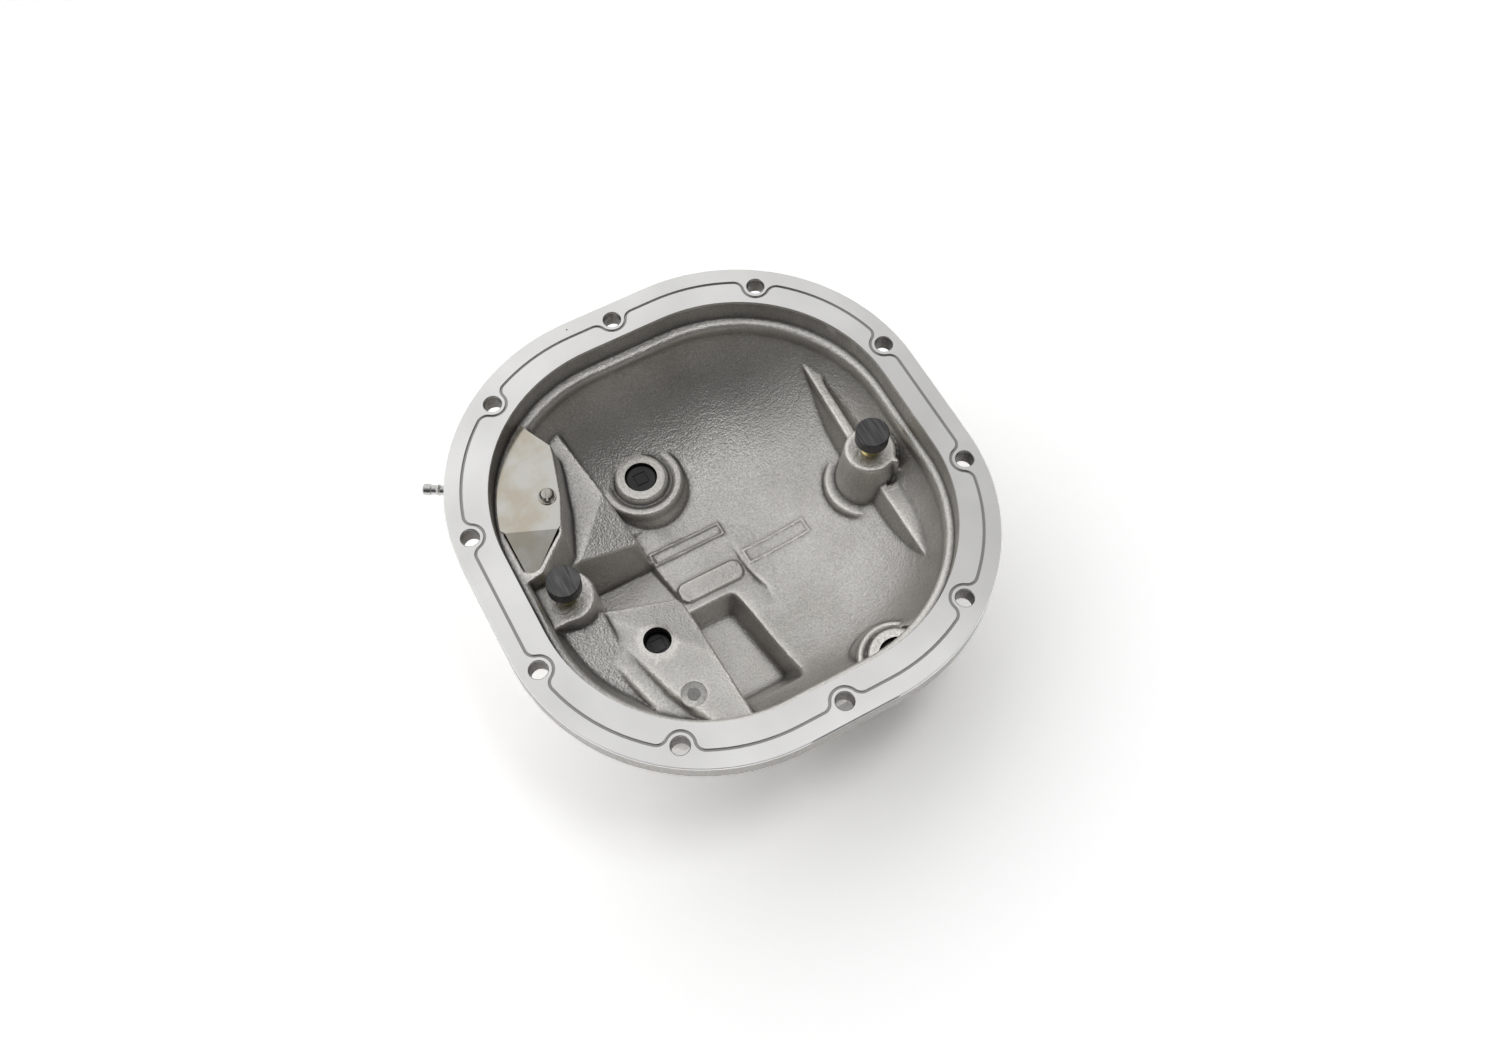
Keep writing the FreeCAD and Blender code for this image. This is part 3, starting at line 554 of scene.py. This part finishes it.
def measureCrease(mesh):
    points = vertexVectors(mesh, "co")
    count = len(points)
    edges = np.zeros(len(mesh.edges) * 2, dtype=np.int64)
    mesh.edges.foreach_get("vertices", edges)
    a, b = edges.reshape(-1, 2).T
    degree = np.bincount(np.concatenate((a, b)), minlength=count).clip(1)
    own = creaseRule["own"]
    moved = points.copy()
    for _ in range(creaseRule["rounds"]):
        total = np.zeros_like(moved)
        for axis in range(3):
            total[:, axis] = np.bincount(a, moved[b, axis], count) + np.bincount(b, moved[a, axis], count)
        moved = own * moved + (1 - own) * total / degree[:, None]
    depth = ((moved - points) * vertexVectors(mesh, "normal")).sum(axis=1)
    tree = KDTree(count)
    for number, point in enumerate(points):
        tree.insert(point, number)
    tree.balance()
    return tree, np.clip(0.5 + depth / creaseRule["span"], 0.0, 1.0)


def thinOut(piece, ratio, group):
    thin = piece.modifiers.new("thin", "DECIMATE")
    thin.ratio = ratio
    thin.vertex_group = group
    bake(piece)
    print("thinned to", len(piece.data.polygons))


def splitLong(piece):
    bm = bmesh.new()
    bm.from_mesh(piece.data)
    for _ in range(cast["splitRounds"]):
        edges = [edge for edge in bm.edges if edge.calc_length() > cast["longest"]
                 and any(face.normal.z > cast["splitFacing"] for face in edge.link_faces)]
        bmesh.ops.subdivide_edges(bm, edges=edges, cuts=1)
    bmesh.ops.triangulate(bm, faces=bm.faces)
    bm.to_mesh(piece.data)
    bm.free()


def lighten(piece):
    outer = outerWeights(piece.data)
    weigh(piece, "outer", outer, (1.0,))
    fineShare = 1.0 - outer.mean()
    thinOut(piece, fineShare + cast["outerShare"] * (1.0 - fineShare), "outer")
    weigh(piece, "free", freeWeights(vertexVectors(piece.data, "co") / mm), (1.0,))
    thinOut(piece, cast["most"] / triangleCount(piece), "free")
    splitLong(piece)


# Painted shade and highlight: the crease measure, carried onto the thinned mesh
def paintCreaseShade(piece, tree, creaseShade):
    nearest = [tree.find(vert.co)[1] for vert in piece.data.vertices]
    addAttribute(piece, "creaseShade", "POINT", creaseShade[nearest])


def isBoreWall(face):
    x, y, z = face.center / mm
    if abs(face.normal.z) >= boreWall["upright"] or z <= boreWall["low"]:
        return False
    return any(math.hypot(x - bore[0], y - bore[1]) < bore[2] + boreWall["slack"] for bore in darkBores)


# Painted shade: a face mark that darkens the bore walls
def paintBoreShade(piece):
    addAttribute(piece, "boreShade", "FACE", [float(isBoreWall(face)) for face in piece.data.polygons])


# Painted shade on the flange's outer side, fading in from the outline
def paintRimShade(piece):
    x, y = vertexVectors(piece.data, "co").T[:2] / mm
    side = (boxDistance(x, y, rim["box"], rim["corner"]) + rim["reach"]) / rim["fade"]
    addAttribute(piece, "rimShade", "POINT", rim["tone"] * np.clip(side, 0, 1))


def castBody():
    piece = closedCasting()
    softenSkin(piece)
    for tool in cutters():
        subtract(piece, tool)
    print("machined, faces", len(piece.data.polygons))
    raiseRelief(piece)
    tree, creaseShade = measureCrease(piece.data)
    lighten(piece)
    paintCreaseShade(piece, tree, creaseShade)
    paintBoreShade(piece)
    paintRimShade(piece)
    smoothShade(piece, cast["shadeAngle"])
    print("cast body triangles", triangleCount(piece))
    dress(piece, "cast", "cover_casting")


def milledFace():
    bm, border = cutCasting(keepBelow=False)
    bmesh.ops.triangle_fill(bm, use_beauty=True, edges=border)
    bmesh.ops.recalc_face_normals(bm, faces=bm.faces)
    piece = makeObject("milledFace", bm)
    pit = bmesh.new()
    addCylinder(pit, *castPit)
    subtract(piece, makeObject("pit", pit))
    # Painted shade mark for the groove and pit floors
    grooveShade = [float(face.normal.z > grooveFloor["facing"] and face.center.z < grooveFloor["below"])
            for face in piece.data.polygons]
    addAttribute(piece, "grooveShade", "FACE", grooveShade)
    dress(piece, "milled", "cover_casting")


castBody()
milledFace()
print("casting ready")


# Load bolts: a thread profile, spun and raised by one pitch a turn

stem = {"radius": 4.75 * mm, "root": 4.1 * mm, "pitch": 1.25 * mm, "low": -91.4 * mm, "high": -9.6 * mm,
        "steps": 24, "crest": (0.85, 1.15), "shadeAngle": 30}


def threadProfile(bm):
    turns = int((stem["high"] - stem["low"]) / stem["pitch"])
    half = stem["pitch"] / 2
    line = [bm.verts.new((stem["root"], 0, stem["low"]))]
    for turn in range(turns):
        low = stem["low"] + turn * stem["pitch"]
        line += [bm.verts.new((stem["radius"], 0, low + half * share)) for share in stem["crest"]]
        line.append(bm.verts.new((stem["root"], 0, low + 2 * half)))
    return line + [bm.edges.new(pair) for pair in zip(line, line[1:])]


def loadBolt(name, x, y):
    bm = bmesh.new()
    bmesh.ops.spin(bm, geom=threadProfile(bm), cent=(0, 0, 0), axis=(0, 0, 1),
                   dvec=(0, 0, stem["pitch"] / stem["steps"]), angle=math.tau, steps=stem["steps"],
                   use_merge=False, use_duplicate=False)
    bmesh.ops.remove_doubles(bm, verts=bm.verts, dist=mergeReach)
    bmesh.ops.holes_fill(bm, edges=[edge for edge in bm.edges if edge.is_boundary], sides=0)
    bmesh.ops.recalc_face_normals(bm, faces=bm.faces)
    bmesh.ops.translate(bm, verts=bm.verts, vec=(x * mm, y * mm, 0))
    piece = makeObject(name, bm)
    smoothShade(piece, stem["shadeAngle"])
    dress(piece, "zinc", name)


for side in ("left", "right"):
    loadBolt("load_bolt_" + side, *loadPlaces[side])


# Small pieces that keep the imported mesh

nodeFinish = {
    "load_pad_left": "black", "load_pad_right": "black", "jam_washer_left": "plain",
    "jam_washer_right": "plain", "jam_nut_left": "zinc", "jam_nut_right": "zinc", "fill_plug": "dark",
    "drain_plug": "dark", "sensor_plug": "dark", "vent_fitting": "vent", "baffle_plate": "sheet",
    "baffle_washer": "plain", "baffle_screw": "plain"}
for node, finish in nodeFinish.items():
    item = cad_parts[node]
    item.data.materials.clear()
    item.data.materials.append(materials[finish])
print("small pieces ready")


# Floor, light and camera, in metres

floorLook = {"width": 16.0, "level": -95.05 * mm, "tone": 0.30, "seenTone": 1.9, "roughness": 0.9}
lampLook = {"place": (0.28, -0.20, 1.32), "size": (0.45, 0.28), "power": 2.6, "aim": (0, 0, -0.03)}
# The sky's strength rises from dark to bright along the lean direction
skyLook = {"dark": 0.08, "bright": 1.0, "from": 0.05, "to": 0.62, "lean": (-0.45, 0.85, 0.25)}
cameraLook = {
    "lens": 35.666, "sensor": 36.0, "farEnd": 20.0, "place": (-0.1495, -0.30195, 0.6303),
    "turn": ((0.8769, 0.42815, -0.21849), (-0.48068, 0.78107, -0.39859), (0.0, 0.45454, 0.89072))}


def stageFloor():
    bpy.ops.mesh.primitive_plane_add(size=floorLook["width"], location=(0, 0, floorLook["level"]))
    floor = bpy.context.object
    floor.name = "studioFloor"
    tone = grey(floorLook["tone"])
    material = startMaterial("paleFloor", tone, 0.0, floorLook["roughness"])[0]
    path = addNode(material, "ShaderNodeLightPath")
    shown = path.outputs["Is Camera Ray"]
    for kind in ("Is Glossy Ray", "Is Transmission Ray"):
        either = addNode(material, "ShaderNodeMath", operation="MAXIMUM")
        link(material, shown, either.inputs[0])
        link(material, path.outputs[kind], either.inputs[1])
        shown = either.outputs[0]
    matte = addNode(material, "ShaderNodeBsdfDiffuse")
    link(material, mixColour(material, shown, tone, grey(floorLook["seenTone"])), matte.inputs["Color"])
    output = material.node_tree.nodes["Material Output"]
    link(material, matte.outputs["BSDF"], output.inputs["Surface"])
    floor.data.materials.append(material)


def keyLamp():
    lamp = bpy.data.lights.new("keyBox", "AREA")
    lamp.shape = "RECTANGLE"
    lamp.size, lamp.size_y = lampLook["size"]
    lamp.energy = lampLook["power"]
    item = bpy.data.objects.new("keyBox", lamp)
    bpy.context.scene.collection.objects.link(item)
    item.location = lampLook["place"]
    look = Vector(lampLook["aim"]) - Vector(lampLook["place"])
    item.rotation_euler = look.to_track_quat("-Z", "Y").to_euler()


def studioWorld():
    world = bpy.data.worlds.new("studio")
    bpy.context.scene.world = world
    world.use_nodes = True
    nodes, links = world.node_tree.nodes, world.node_tree.links
    background = nodes["Background"]
    place = nodes.new("ShaderNodeTexCoord")
    lean = nodes.new("ShaderNodeVectorMath")
    lean.operation = "DOT_PRODUCT"
    lean.inputs[1].default_value = skyLook["lean"]
    links.new(place.outputs["Generated"], lean.inputs[0])
    fade = nodes.new("ShaderNodeMapRange")
    fade.interpolation_type = "SMOOTHSTEP"
    ends = {"From Min": "from", "From Max": "to", "To Min": "dark", "To Max": "bright"}
    for socket, key in ends.items():
        fade.inputs[socket].default_value = skyLook[key]
    links.new(lean.outputs["Value"], fade.inputs["Value"])
    links.new(fade.outputs["Result"], background.inputs["Strength"])
    background.inputs["Color"].default_value = (1, 1, 1, 1)


def photoCamera():
    camera = bpy.data.cameras.new("photoCamera")
    camera.lens = cameraLook["lens"]
    camera.sensor_width = cameraLook["sensor"]
    camera.sensor_fit = "HORIZONTAL"
    camera.clip_end = cameraLook["farEnd"]
    item = bpy.data.objects.new("photoCamera", camera)
    bpy.context.scene.collection.objects.link(item)
    item.matrix_world = Matrix.Translation(cameraLook["place"]) @ Matrix(cameraLook["turn"]).to_4x4()
    bpy.context.scene.camera = item


stageFloor()
keyLamp()
studioWorld()
photoCamera()
bpy.context.scene.view_settings.view_transform = "Standard"
print("studio ready")
